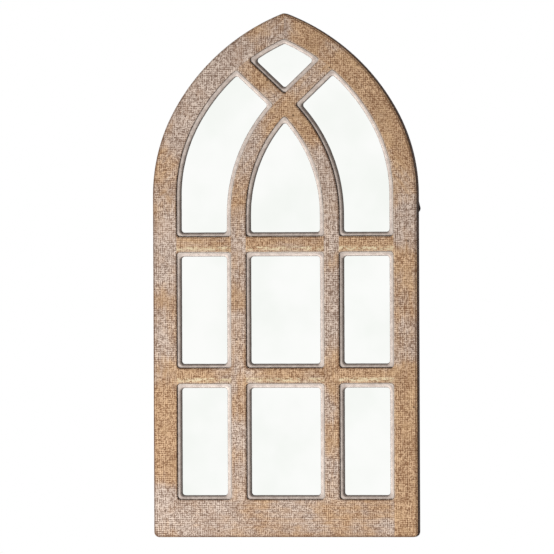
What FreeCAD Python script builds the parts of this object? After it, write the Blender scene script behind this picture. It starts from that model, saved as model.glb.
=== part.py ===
"""Arched window mirror: a pointed wooden window frame with one sheet of mirror glass behind ten lights.

The frame is two stiles, a bottom rail and two arch halves, doweled at their ends. Inside it, two mullions
and two crossbars are halved over each other, and two tracery bars rise from the mullions, are halved where
they cross, and end in the arch. Every bar ends in a stub tenon. Each light is lined with a glazing bead.
Behind, in one rebate, lie the glass, a foam sheet and a hardboard back, held by offset clips. Two strap
hangers with swinging rings and two rubber pads meet the wall.

Everything is first laid out flat in millimetres: x across, y up from the bottom edge, z out from the wall.
place() then stands it up, with +Z up, the front towards -Y, and the origin on the wall midway between the
two hooks.
"""

import FreeCAD
import Part

import math
import os

from FreeCAD import Vector

# Outline of the frame
width = 400.0
straight_height = 511.5  # bottom edge to the spring line of the outer arch
shoulder_radius = 262.0  # of the arch's lower part
shoulder_turn = 28.5  # degrees that the lower part turns through
arch_radius = 321.0  # of the flatter part above it
apex_rounding = 8.0
bottom_corner_radius = 8.0
front_edge_radius = 2.0
back_edge_radius = 0.8

# Sections of the wood
frame_thickness = 22.0
stile_width = 35.5
bottom_rail_height = 56.0
lip_thickness = 8.0  # the bars have this thickness too
rebate_width = 8.0

# Bars
bar_width = 22.5
crossbar_height = 22.5
mullion_share = 3 / 7  # of the way from the middle of the mirror to the stile
upper_crossbar_drop = 84.8  # bottom of the upper crossbar, below the spring line of the outer arch
tracery_drop = 28.9  # foot of each tracery bar, below the spring line of the outer arch
tracery_radius = 226.0  # at the centre line of the bar
tenon_length = 12.0
tenon_width = 15.0
tenon_thickness = 3.0
joint_gap = 0.1
mortise_end_room = 1.0
opening_corner = 5.0  # radius of the lights' corners in the wood

# Glazing beads
bead_width = 6.8
bead_height = 6.2
bead_gap = 0.1
bead_back_gap = 0.2
bead_quirk_round = 1.1  # small round beside the wood
bead_flat = 0.7  # between the small round and the large one
bead_inner_corner = 4.5

# Layers in the rebate
glass_thickness = 3.0
foam_thickness = 2.0
back_thickness = 3.0
pane_gap = 1.0

# Dowels
dowel_radius = 3.0
dowel_length = 40.0
apex_dowel_length = 24.0
dowel_fit = 0.05
hole_end_room = 1.0  # past the end of a dowel or a screw
rail_dowel_heights = (15.0, 37.0)
stile_dowel_insets = (8.0, 19.5)  # from the outer edge of the stile
apex_dowel_drops = (11.5, 21.5)  # below the apex
tracery_dowel_radius = 2.0
tracery_dowel_length = 24.0

# Offset clips and their screws
clip_width = 12.0
clip_thickness = 1.2
clip_frame_foot = 13.0
clip_panel_foot = 12.0
clip_wall_gap = 0.5
clip_hole_inset = 6.5
clip_base_rise = 67.0  # foot of the rebate to the middle of the lowest clip in each side
clip_strap_gap = 23.8  # strap of the hanger to the highest of them
clip_arch_angles = (22.0, 48.0)
clip_bottom_offset = 80.0
screw_radius = 1.5
screw_hole_radius = 1.8
screw_fit = 0.05
screw_tip = 3.0
clip_screw_length = 12.0
head_radius = 3.2
head_height = 1.9
head_round = 1.0
recess_length = 3.4
recess_width = 0.8
recess_depth = 1.1

# Strap hangers
hinge_drop = 26.5  # axis of the rings, below the spring line of the outer arch
hanger_inset = 11.0  # outer edge of the stile to the middle of the strap
strap_width = 12.0
strap_thickness = 1.0
strap_length = 45.5  # hinge to the round end
strap_screw_drops = (29.0, 39.5)  # below the hinge, past the reach of the ring
strap_screw_length = 16.0
eye_gap = 0.1
eye_rise = 0.2  # lifts the eye off the frame, so that the ring can hang over the strap

# Rings: a straight side in the eye, two sides that lean inwards, and a round bow
ring_wire_radius = 1.3
ring_half_width = 11.6
ring_height = 23.5
ring_corner = 5.5
ring_lean = 14.0  # degrees

# Rubber pads
pad_thickness = 6.0
pad_radius = 6.0
pad_inset = 15.0

# Overlap of a cutting shape with the air beside what it cuts, and how near counts as equal
cut_spare = 1.0
tolerance = 1e-6
smooth_turn = 0.05  # radians between two faces that still run on smoothly

# Planes, as distances out from the wall
frame_back = pad_thickness
frame_front = frame_back + frame_thickness
lip_back = frame_front - lip_thickness
halving_plane = lip_back + lip_thickness / 2
glass_back = lip_back - glass_thickness
foam_back = glass_back - foam_thickness
panel_back = foam_back - back_thickness
dowel_plane = frame_back + frame_thickness / 2

# Places in the flat layout
half_width = width / 2
shoulder_angle = math.radians(shoulder_turn)
shoulder_end = Vector(math.cos(shoulder_angle), math.sin(shoulder_angle), 0)
shoulder_centre = Vector(half_width - shoulder_radius, straight_height, 0)  # of the right arch half
arch_centre = shoulder_centre - shoulder_end * (arch_radius - shoulder_radius)
apex_height = arch_centre.y + math.sqrt(arch_radius**2 - arch_centre.x**2)
inner_half_width = half_width - stile_width
rebate_half_width = inner_half_width + rebate_width
rebate_base = bottom_rail_height - rebate_width
mullion_offset = mullion_share * inner_half_width
upper_crossbar_base = straight_height - upper_crossbar_drop
row_height = (upper_crossbar_base - bottom_rail_height - crossbar_height) / 2  # of the two lower rows
lower_crossbar_base = bottom_rail_height + row_height
tracery_spring = straight_height - tracery_drop
tracery_centre = tracery_radius - mullion_offset
crossing_height = tracery_spring + math.sqrt(tracery_radius**2 - tracery_centre**2)
rise_angle = math.acos(-tracery_centre / tracery_radius)
tracery_direction = Vector(math.sin(rise_angle), -math.cos(rise_angle), 0)
bead_outer_corner = opening_corner - bead_gap
bead_round = min(bead_width - bead_gap - bead_quirk_round - bead_flat, bead_height - bead_flat)
hanger_offset = half_width - hanger_inset
hinge_height = straight_height - hinge_drop
eye_inner_radius = ring_wire_radius + eye_gap
eye_outer_radius = eye_inner_radius + strap_thickness
hinge_plane = frame_back - eye_rise - eye_outer_radius
hook_height = hinge_height + ring_height - ring_wire_radius
clip_seat = frame_back - clip_thickness
lowest_clip = rebate_base + clip_base_rise
highest_clip = hinge_height - strap_length - clip_strap_gap - clip_width / 2
clip_side_heights = (lowest_clip, (lowest_clip + highest_clip) / 2, highest_clip)
strap_seat = frame_back - strap_thickness

OUT = Vector(0, 0, 1)
ACROSS = Vector(1, 0, 0)
UP = Vector(0, 1, 0)
SIDES = {"left": -1, "right": 1}
CROSSBAR_BASES = {"lower_crossbar": lower_crossbar_base, "upper_crossbar": upper_crossbar_base}


def mirrored(shape):
    """The same piece on the other side of the middle."""
    return shape.mirror(Vector(0, 0, 0), ACROSS)


def polygon(points):
    return Part.Face(Part.makePolygon(points + points[:1]))


def rectangle(x0, x1, y0, y1):
    return polygon([Vector(x0, y0, 0), Vector(x1, y0, 0), Vector(x1, y1, 0), Vector(x0, y1, 0)])


def slab(face, z0, z1):
    """The flat outline, given thickness between two planes."""
    solid = face.extrude(Vector(0, 0, z1 - z0))
    solid.translate(Vector(0, 0, z0))
    return solid


def rod(start, direction, length, radius):
    return Part.makeCylinder(radius, length, start, direction)


def arc(centre_x, centre_y, radius, start, end):
    """An arc from one angle to another, in radians."""
    turns = [start, (start + end) / 2, end]
    points = [Vector(centre_x + radius * math.cos(t), centre_y + radius * math.sin(t), 0) for t in turns]
    return Part.Arc(*points).toShape()


def edges_at_depth(solid, z):
    """The edges that lie in one plane of the flat layout."""
    boxes = [(edge, edge.BoundBox) for edge in solid.Edges]
    return [edge for edge, box in boxes if max(abs(box.ZMin - z), abs(box.ZMax - z)) < tolerance]


def upright_edges_at(solid, x, y):
    """The edges of a slab that stand on one point of its outline."""
    found = []
    for edge in solid.Edges:
        ends = [v.Point for v in edge.Vertexes]
        if len(ends) == 2 and all(math.hypot(p.x - x, p.y - y) < tolerance for p in ends):
            found.append(edge)
    return found


def pointed_outline(inset, base):
    """The arched outline, drawn a distance inside the outer one, from a height up."""
    side = half_width - inset
    radius = arch_radius - inset
    right_arch = [
        arc(shoulder_centre.x, shoulder_centre.y, shoulder_radius - inset, 0, shoulder_angle),
        arc(arch_centre.x, arch_centre.y, radius, shoulder_angle, math.acos(-arch_centre.x / radius)),
    ]
    left_foot = Vector(-side, base, 0)
    right_foot = Vector(side, base, 0)
    left_spring = Vector(-side, straight_height, 0)
    right_spring = Vector(side, straight_height, 0)
    edges = [
        Part.makeLine(left_foot, right_foot),
        Part.makeLine(right_foot, right_spring),
        *right_arch,
        *[mirrored(edge) for edge in reversed(right_arch)],
        Part.makeLine(left_spring, left_foot),
    ]
    return Part.Face(Part.Wire(edges))


def crossing_to_arch():
    """Length along a tracery bar's centre line from the crossing to the arch's inner edge."""
    start = Vector(0, crossing_height, 0) - arch_centre
    along = start.dot(tracery_direction)
    radius = arch_radius - stile_width
    return -along + math.sqrt(along**2 - start.dot(start) + radius**2)


def tracery_band(half, straight_length):
    """The left tracery bar's outline: up the arc from its foot, then straight on past the crossing."""
    inner = tracery_radius - half
    outer = tracery_radius + half
    foot = Vector(tracery_centre, tracery_spring, 0)
    outward = Vector(math.cos(rise_angle), math.sin(rise_angle), 0)
    run = tracery_direction * straight_length
    outer_turn = foot + outward * outer
    inner_turn = foot + outward * inner
    edges = [
        arc(tracery_centre, tracery_spring, outer, math.pi, rise_angle),
        Part.makeLine(outer_turn, outer_turn + run),
        Part.makeLine(outer_turn + run, inner_turn + run),
        Part.makeLine(inner_turn + run, inner_turn),
        arc(tracery_centre, tracery_spring, inner, rise_angle, math.pi),
        Part.makeLine(foot - ACROSS * inner, foot - ACROSS * outer),
    ]
    return Part.Face(Part.Wire(edges))


def tenon_slab(face, spare):
    """Thickness for a tenon, or with spare room for its mortise, in the middle of the lip."""
    half = tenon_thickness / 2 + spare
    return slab(face, halving_plane - half, halving_plane + half)


def tracery_tenon(spare=0.0, end_room=0.0):
    """The left tracery bar's tenon, drawn from inside the bar, or the mortise for it in the arch."""
    reach = crossing_to_arch()
    half = tenon_width / 2 + spare
    sideways = Vector(math.cos(rise_angle), math.sin(rise_angle), 0) * half
    crossing = Vector(0, crossing_height, 0)
    start = crossing + tracery_direction * (reach - tenon_length)
    end = crossing + tracery_direction * (reach + tenon_length + end_room)
    return tenon_slab(polygon([start - sideways, end - sideways, end + sideways, start + sideways]), spare)


def crossbar_tenon(base, sign, spare=0.0, end_room=0.0):
    """A crossbar's tenon, drawn from the edge of the stile outwards, or the mortise for it."""
    middle = base + crossbar_height / 2
    half = tenon_width / 2 + spare
    near = sign * inner_half_width
    far = sign * (inner_half_width + tenon_length + end_room)
    return tenon_slab(rectangle(min(near, far), max(near, far), middle - half, middle + half), spare)


def mullion_tenon(sign, spare=0.0, end_room=0.0):
    """A mullion's tenon, drawn down into the bottom rail, or the mortise for it."""
    middle = sign * mullion_offset
    half = tenon_width / 2 + spare
    foot = bottom_rail_height - tenon_length - end_room
    return tenon_slab(rectangle(middle - half, middle + half, foot, bottom_rail_height), spare)


def mortises():
    """Room for every bar's tenon in the five outer pieces."""
    room = {"spare": joint_gap, "end_room": mortise_end_room}
    left = tracery_tenon(**room)
    found = [left, mirrored(left)]
    for sign in SIDES.values():
        found.append(mullion_tenon(sign, **room))
        found += [crossbar_tenon(base, sign, **room) for base in CROSSBAR_BASES.values()]
    return found


def dowel(middle, direction, length, radius, spare=0.0, end_room=0.0):
    """A dowel about its middle point, or with spare room the hole for it."""
    whole = length + 2 * end_room
    return rod(middle - direction * (whole / 2), direction, whole, radius + spare)


def frame_dowels(**room):
    """The dowels of the five outer pieces: at the bottom rail, at the spring line and at the apex."""
    found = []
    for sign in SIDES.values():
        for height in rail_dowel_heights:
            middle = Vector(sign * inner_half_width, height, dowel_plane)
            found.append(dowel(middle, ACROSS, dowel_length, dowel_radius, **room))
        for inset in stile_dowel_insets:
            middle = Vector(sign * (half_width - inset), straight_height, dowel_plane)
            found.append(dowel(middle, UP, dowel_length, dowel_radius, **room))
    for drop in apex_dowel_drops:
        middle = Vector(0, apex_height - drop, dowel_plane)
        found.append(dowel(middle, ACROSS, apex_dowel_length, dowel_radius, **room))
    return found


def tracery_dowels(**room):
    """One dowel in each butt joint between a mullion and its tracery bar."""
    found = []
    for sign in SIDES.values():
        middle = Vector(sign * mullion_offset, tracery_spring, halving_plane)
        found.append(dowel(middle, UP, tracery_dowel_length, tracery_dowel_radius, **room))
    return found


def screw(point, seat, length):
    """A pan head screw with a crossed recess, driven outwards from a seat plane."""
    top = seat - head_height
    head = rod(Vector(point.x, point.y, top), OUT, head_height, head_radius)
    head = head.makeFillet(head_round, edges_at_depth(head, top))
    shank = rod(Vector(point.x, point.y, seat), OUT, length - screw_tip, screw_radius)
    tip = Part.makeCone(screw_radius, 0, screw_tip, Vector(point.x, point.y, seat + length - screw_tip), OUT)
    body = head.fuse([shank, tip]).removeSplitter()
    for across, along in ((recess_length, recess_width), (recess_width, recess_length)):
        outline = rectangle(-across / 2, across / 2, -along / 2, along / 2)
        outline.translate(Vector(point.x, point.y, 0))
        body = body.cut(slab(outline, top - cut_spare, top + recess_depth))
    return body


def pilot_hole(point, seat, length):
    """The hole that a screw's shank fills in the wood."""
    start = Vector(point.x, point.y, seat)
    return rod(start, OUT, length + hole_end_room, screw_radius + screw_fit)


def arch_clip(angle, sign):
    """(point on the rebate's wall, direction inwards) where the arch half of one side faces an angle."""
    turn = math.radians(angle)
    outward = Vector(math.cos(turn), math.sin(turn), 0)
    on_shoulder = turn < shoulder_angle
    centre = shoulder_centre if on_shoulder else arch_centre
    radius = shoulder_radius if on_shoulder else arch_radius
    point = centre + outward * (radius - stile_width + rebate_width)
    return Vector(sign * point.x, point.y, 0), Vector(-sign * outward.x, -outward.y, 0)


def clip_places():
    """(point on the rebate's wall, direction inwards) of every offset clip."""
    places = []
    for sign in SIDES.values():
        for height in clip_side_heights:
            places.append((Vector(sign * rebate_half_width, height, 0), ACROSS * -sign))
        places += [arch_clip(angle, sign) for angle in clip_arch_angles]
        places.append((Vector(sign * clip_bottom_offset, rebate_base, 0), UP))
    return places


def clip_screw_points():
    return [wall - inward * clip_hole_inset for wall, inward in clip_places()]


def offset_clip(wall, inward):
    """A strip bent twice: one foot screwed to the frame's back, the other on the hardboard."""
    near = clip_wall_gap
    far = clip_wall_gap + clip_thickness
    half = clip_width / 2
    frame_foot = slab(rectangle(-clip_frame_foot, far, -half, half), clip_seat, frame_back)
    web = slab(rectangle(near, far, -half, half), clip_seat, panel_back)
    tip = rectangle(near, near + clip_panel_foot, -half, half)
    panel_foot = slab(tip, panel_back - clip_thickness, panel_back)
    hole_start = Vector(-clip_hole_inset, 0, clip_seat - cut_spare)
    hole = rod(hole_start, OUT, clip_thickness + 2 * cut_spare, screw_hole_radius)
    clip = frame_foot.fuse([web, panel_foot]).removeSplitter().cut(hole)
    clip.rotate(Vector(0, 0, 0), OUT, math.degrees(math.atan2(inward.y, inward.x)))
    clip.translate(wall)
    return clip


def strap_screw_points():
    heights = [hinge_height - drop for drop in strap_screw_drops]
    return [Vector(sign * hanger_offset, height, 0) for sign in SIDES.values() for height in heights]


def hanger_strap():
    """The left steel strap on the stile's back, curled at its top round the straight side of the ring."""
    x = -hanger_offset
    half = strap_width / 2
    tail = hinge_height - strap_length + half
    tongue = slab(rectangle(x - half, x + half, tail, hinge_height), strap_seat, frame_back)
    round_end = rod(Vector(x, tail, strap_seat), OUT, strap_thickness, half)
    hinge = Vector(x - half, hinge_height, hinge_plane)
    curl = rod(hinge, ACROSS, strap_width, eye_outer_radius)
    curl = curl.cut(rod(hinge, ACROSS, strap_width, eye_inner_radius))
    reach = 2 * eye_outer_radius
    mouth = Part.makeBox(strap_width, reach, reach, hinge - UP * reach)
    strap = tongue.fuse([round_end, curl.cut(mouth)]).removeSplitter()
    through = strap_thickness + 2 * cut_spare
    for drop in strap_screw_drops:
        start = Vector(x, hinge_height - drop, strap_seat - cut_spare)
        strap = strap.cut(rod(start, OUT, through, screw_hole_radius))
    return strap


def ring_path():
    """The ring's centre line, drawn from the middle of its straight side."""
    lean = math.radians(ring_lean)
    quarter = math.pi / 2
    foot = ring_half_width - ring_corner
    rise = ring_corner - ring_height
    bow = (foot * math.cos(lean) + ring_corner + rise * math.sin(lean)) / (1 - math.sin(lean))
    crown = ring_height - bow
    side = Part.makeLine(
        Vector(foot + ring_corner * math.cos(lean), ring_corner + ring_corner * math.sin(lean), 0),
        Vector(bow * math.cos(lean), crown + bow * math.sin(lean), 0),
    )
    half = [
        Part.makeLine(Vector(0, 0, 0), Vector(foot, 0, 0)),
        arc(foot, ring_corner, ring_corner, -quarter, lean),
        side,
        arc(0, crown, bow, lean, quarter),
    ]
    return Part.Wire(half + [mirrored(edge) for edge in reversed(half)])


def hanger_ring():
    """The left ring of round wire, with its straight side in the strap's eye and its bow above."""
    section = Part.Wire([Part.makeCircle(ring_wire_radius, Vector(0, 0, 0), ACROSS)])
    ring = ring_path().makePipeShell([section], True, False)
    ring.translate(Vector(-hanger_offset, hinge_height, hinge_plane))
    return ring


def pad(sign):
    middle = Vector(sign * (half_width - pad_inset), pad_inset, 0)
    return rod(middle, OUT, pad_thickness, pad_radius)


def hoop():
    """The five outer pieces in one, before they are parted: outline, eased edges, opening and rebate."""
    board = slab(pointed_outline(0, 0), frame_back, frame_front)
    corners = upright_edges_at(board, -half_width, 0) + upright_edges_at(board, half_width, 0)
    board = board.makeFillet(bottom_corner_radius, corners)
    board = board.makeFillet(apex_rounding, upright_edges_at(board, 0, apex_height))
    board = board.makeFillet(front_edge_radius, edges_at_depth(board, frame_front))
    board = board.makeFillet(back_edge_radius, edges_at_depth(board, frame_back))
    low = frame_back - cut_spare
    interior = pointed_outline(stile_width, bottom_rail_height)
    opening = rounded_prism(interior, opening_corner, low, frame_front + cut_spare)
    rebate = slab(pointed_outline(stile_width - rebate_width, rebate_base), low, lip_back)
    return board.cut([opening, rebate])


def outer_pieces():
    """Stiles, bottom rail and arch halves, with their mortises and holes."""
    side = half_width + cut_spare
    top = apex_height + cut_spare
    cells = {
        "left_stile": rectangle(-side, -inner_half_width, -cut_spare, straight_height),
        "bottom_rail": rectangle(-inner_half_width, inner_half_width, -cut_spare, straight_height),
        "left_arch": rectangle(-side, 0, straight_height, top),
    }
    cells["right_stile"] = mirrored(cells["left_stile"])
    cells["right_arch"] = mirrored(cells["left_arch"])
    holes = frame_dowels(spare=dowel_fit, end_room=hole_end_room)
    holes += [pilot_hole(point, clip_seat, clip_screw_length) for point in clip_screw_points()]
    holes += [pilot_hole(point, strap_seat, strap_screw_length) for point in strap_screw_points()]
    board = hoop().cut(mortises() + holes)
    low = frame_back - cut_spare
    high = frame_front + cut_spare
    return {name: board.common(slab(cell, low, high)) for name, cell in cells.items()}


def bar_faces(spare=0.0):
    """The flat outlines of the six bars, wider on either side by a spare distance."""
    half = bar_width / 2 + spare
    interior = pointed_outline(stile_width, bottom_rail_height)
    mullion = rectangle(-mullion_offset - half, -mullion_offset + half, bottom_rail_height, tracery_spring)
    tracery = tracery_band(half, crossing_to_arch() + stile_width).common(interior)
    faces = {"left_mullion": mullion, "left_tracery_bar": tracery}
    faces["right_mullion"] = mirrored(mullion)
    faces["right_tracery_bar"] = mirrored(tracery)
    for name, base in CROSSBAR_BASES.items():
        top = base + crossbar_height + spare
        faces[name] = rectangle(-inner_half_width, inner_half_width, base - spare, top)
    return faces


def corner_webs():
    """The wood that rounds the corners of the lights, one solid to a corner."""
    webs = []
    for light in lights(0).values():
        rounded = rounded_prism(light, opening_corner, lip_back, frame_front)
        webs += slab(light, lip_back, frame_front).cut(rounded).Solids
    return webs


def bars():
    """The six bars with halvings, tenons, rounded corners and dowel holes.

    The first bar named in a crossing is in front.
    """
    faces = bar_faces()
    found = {name: slab(face, lip_back, frame_front) for name, face in faces.items()}
    uprights = [name for name in faces if name not in CROSSBAR_BASES]
    crossings = [(upright, crossbar) for upright in uprights for crossbar in CROSSBAR_BASES]
    crossings.append(("left_tracery_bar", "right_tracery_bar"))
    for over, under in crossings:
        found[over] = found[over].cut(slab(faces[under], lip_back - cut_spare, halving_plane))
        found[under] = found[under].cut(slab(faces[over], halving_plane, frame_front + cut_spare))
    left = tracery_tenon()
    added = {"left_tracery_bar": [left], "right_tracery_bar": [mirrored(left)]}
    for side, sign in SIDES.items():
        added[f"{side}_mullion"] = [mullion_tenon(sign)]
    for name, base in CROSSBAR_BASES.items():
        added[name] = [crossbar_tenon(base, sign) for sign in SIDES.values()]
    for web in corner_webs():
        touching = [name for name, bar in found.items() if bar.distToShape(web)[0] < tolerance]
        for name in touching[:1]:  # none touch a corner of the frame alone
            added[name].append(web)
    holes = tracery_dowels(spare=dowel_fit, end_room=hole_end_room)
    return {name: bar.fuse(added[name]).removeSplitter().cut(holes) for name, bar in found.items()}


def light_name(light):
    """The name of a light's bead, from where the light lies: by rows, then from left to right."""
    middle = light.CenterOfMass
    column = "centre"
    if abs(middle.x) > mullion_offset / 2:
        column = "left" if middle.x < 0 else "right"
    if middle.y < lower_crossbar_base:
        return f"lower_{column}_bead"
    if middle.y < upper_crossbar_base:
        return f"middle_{column}_bead"
    if column != "centre":
        return f"upper_{column}_bead"
    return "lancet_bead" if middle.y < crossing_height else "diamond_bead"


def lights(inset):
    """The ten openings between the frame and its bars by name, drawn in by a distance all round."""
    interior = pointed_outline(stile_width + inset, bottom_rail_height + inset)
    faces = interior.cut(list(bar_faces(inset).values())).Faces
    return {light_name(face): face for face in faces}


def is_sharp(solid, edge):
    """Whether the two faces beside an edge turn there, rather than run on smoothly."""
    point = edge.valueAt((edge.FirstParameter + edge.LastParameter) / 2)
    faces = solid.ancestorsOfType(edge, Part.Face)
    normals = [face.normalAt(*face.Surface.parameter(point)) for face in faces]
    return normals[0].getAngle(normals[1]) > smooth_turn


def rounded_prism(face, corner, z0, z1):
    """A slab of the outline with its upright corners rounded."""
    prism = slab(face, z0, z1)
    upright = [e for e in prism.Edges if e.BoundBox.ZLength > z1 - z0 - tolerance]
    return prism.makeFillet(corner, [e for e in upright if is_sharp(prism, e)])


def front_wires(ring, z):
    """The outer and the inner wire of a ring's flat front."""
    front = next(face for face in ring.Faces if face.BoundBox.ZMin > z - tolerance)
    inner = next(wire for wire in front.Wires if not wire.isSame(front.OuterWire))
    return front.OuterWire, inner


def bead(wood_side, glass_side):
    """The ring of moulding in one light: a small round beside the wood, a large one towards the glass."""
    low = lip_back + bead_back_gap
    high = low + bead_height
    body = rounded_prism(wood_side, bead_outer_corner, low, high)
    hole = rounded_prism(glass_side, bead_inner_corner, low - cut_spare, high + cut_spare)
    ring = body.cut(hole)
    ring = ring.makeFillet(bead_round, front_wires(ring, high)[1].Edges)
    return ring.makeFillet(bead_quirk_round, front_wires(ring, high)[0].Edges)


def beads():
    """Each light's bead, between its outlines at the wood and at the glass."""
    glass_sides = lights(bead_width)
    return {name: bead(wood_side, glass_sides[name]) for name, wood_side in lights(bead_gap).items()}


def layers():
    """Glass, foam and hardboard, each of the rebate's shape and a little smaller all round."""
    outline = pointed_outline(stile_width - rebate_width + pane_gap, rebate_base + pane_gap)
    return {
        "mirror_glass": slab(outline, glass_back, lip_back),
        "foam_sheet": slab(outline, foam_back, glass_back),
        "back_panel": slab(outline, panel_back, foam_back),
    }


def hangers():
    """The two straps and the two rings that swing in them."""
    strap = hanger_strap()
    ring = hanger_ring()
    return {
        "left_hanger_strap": strap,
        "right_hanger_strap": mirrored(strap),
        "left_hanger_ring": ring,
        "right_hanger_ring": mirrored(ring),
    }


def groups():
    """The pieces that are alike, as one list of solids to a name."""
    return {
        "frame_dowels": frame_dowels(),
        "tracery_dowels": tracery_dowels(),
        "panel_clips": [offset_clip(wall, inward) for wall, inward in clip_places()],
        "clip_screws": [screw(point, clip_seat, clip_screw_length) for point in clip_screw_points()],
        "hanger_screws": [screw(point, strap_seat, strap_screw_length) for point in strap_screw_points()],
        "wall_pads": [pad(sign) for sign in SIDES.values()],
    }


def place(shape):
    """Stands the flat layout up against the wall, with the origin midway between the hooks."""
    placed = shape.copy()
    placed.rotate(Vector(0, 0, 0), ACROSS, 90)
    placed.translate(Vector(0, 0, -hook_height))
    return placed


def export(name, shapes):
    """Writes one node, after testing that each of its solids is whole."""
    placed = [place(solid) for shape in shapes for solid in shape.Solids]
    if len(placed) != len(shapes) or not all(solid.isValid() and solid.Volume > 0 for solid in placed):
        raise ValueError(f"{name} isn't {len(shapes)} whole solids")
    node = placed[0] if len(placed) == 1 else Part.makeCompound(placed)
    node.exportStep(f"parts/{name}.step")


def main():
    os.makedirs("parts", exist_ok=True)
    single = {**outer_pieces(), **bars(), **beads(), **layers(), **hangers()}
    nodes = {**{name: [solid] for name, solid in single.items()}, **groups()}
    for name, shapes in nodes.items():
        export(name, shapes)
    print(f"{len(nodes)} nodes, hooks {hook_height:.1f} mm above the bottom edge")


main()
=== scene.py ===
"""Arched window mirror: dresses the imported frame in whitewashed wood, mirror glass, steel and rubber.

Every board is a copy of its CAD node with eased edges, whose front is cut by the rough face that a saw
leaves. The glazing beads get the unevenness of hand rubbed mouldings. Everything is in metres, with the
front towards -Y, +Z up and the origin on the wall between the two hooks.
"""

import logging
import math
import random
from dataclasses import dataclass, field
from enum import Enum

import bpy
import numpy as np
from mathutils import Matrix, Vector, kdtree


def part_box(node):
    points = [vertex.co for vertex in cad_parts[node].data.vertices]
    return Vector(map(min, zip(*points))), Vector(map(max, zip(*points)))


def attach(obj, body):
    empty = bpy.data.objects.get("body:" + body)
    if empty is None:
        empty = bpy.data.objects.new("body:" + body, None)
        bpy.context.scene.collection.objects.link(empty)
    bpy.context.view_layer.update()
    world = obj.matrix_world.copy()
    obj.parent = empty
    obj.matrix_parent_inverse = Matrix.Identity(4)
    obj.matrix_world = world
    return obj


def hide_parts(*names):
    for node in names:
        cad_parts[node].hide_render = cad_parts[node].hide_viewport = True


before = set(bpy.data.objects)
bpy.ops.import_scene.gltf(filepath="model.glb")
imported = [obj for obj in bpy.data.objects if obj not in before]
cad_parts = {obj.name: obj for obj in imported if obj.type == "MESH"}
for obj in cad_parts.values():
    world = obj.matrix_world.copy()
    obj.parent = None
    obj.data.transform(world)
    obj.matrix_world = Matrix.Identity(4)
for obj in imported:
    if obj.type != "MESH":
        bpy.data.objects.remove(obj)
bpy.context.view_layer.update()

log = logging.getLogger("mirror")

FRAME_BODY = "frame"
EDGE_GLAZE_AND_PAINTED_LIGHT = "edge_glaze_and_painted_light"
FRONT_PLANE = -0.028
BEAD_CREST = -0.0264
BEAD_FOOT = -0.0202
MERGE_DISTANCE = 1e-6
FLAT_ANGLE = 0.002
SMOOTH_ANGLE = math.radians(32)
SEED_STEP = 0.37
WAVE_PITCH = math.pi / 10
LIGHTS = (
    *(f"{row}_{side}" for row in ("lower", "middle") for side in ("left", "centre", "right")),
    "upper_left",
    "upper_right",
    "lancet",
    "diamond",
)

Piece = bpy.types.Object
Material = bpy.types.Material
Socket = bpy.types.NodeSocket
Value = Socket | float
Colour = Socket | tuple[float, float, float, float]
Tone = tuple[int, int, int]
Inputs = dict[int | str, object]


def paint(tone: Tone) -> tuple[float, float, float, float]:
    """A colour as it is seen on a screen, turned into the linear one that a shader takes.

    Args:
        tone: Red, green and blue, from 0 to 255.

    Returns:
        The linear colour, with an alpha of one.
    """
    seen = [channel / 255 for channel in tone]
    linear = [c / 12.92 if c <= 0.04045 else ((c + 0.055) / 1.055) ** 2.4 for c in seen]
    return (*linear, 1.0)


class Grain(Enum):
    """The way the fibres of a board run, as degrees from level, seen from the front."""

    LEVEL = 0.0
    UPRIGHT = 90.0
    RISING = 52.0
    FALLING = -52.0


class Edge(Enum):
    """How far a piece's sharp edges are eased, in metres."""

    CRISP = 0.00015
    WORN = 0.0005
    SOFT = 0.0009


def feed(tree: bpy.types.NodeTree, node: bpy.types.Node, inputs: Inputs) -> None:
    """Gives a node its inputs.

    Args:
        tree: The node tree of a material or of the world.
        node: The node.
        inputs: A value or a socket for each input that isn't left alone.
    """
    for key, value in inputs.items():
        if isinstance(value, Socket):
            tree.links.new(value, node.inputs[key])
        else:
            node.inputs[key].default_value = value


def add_node(
    tree: bpy.types.NodeTree, kind: str, inputs: Inputs, **settings: object
) -> bpy.types.Node:
    """Adds a node.

    Args:
        tree: The node tree of a material or of the world.
        kind: Blender's name of the node type.
        inputs: A value or a socket for each input that isn't left alone.
        **settings: The node's own properties.

    Returns:
        The node.
    """
    made = tree.nodes.new(kind)
    for key, setting in settings.items():
        setattr(made, key, setting)
    feed(tree, made, inputs)
    return made


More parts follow.
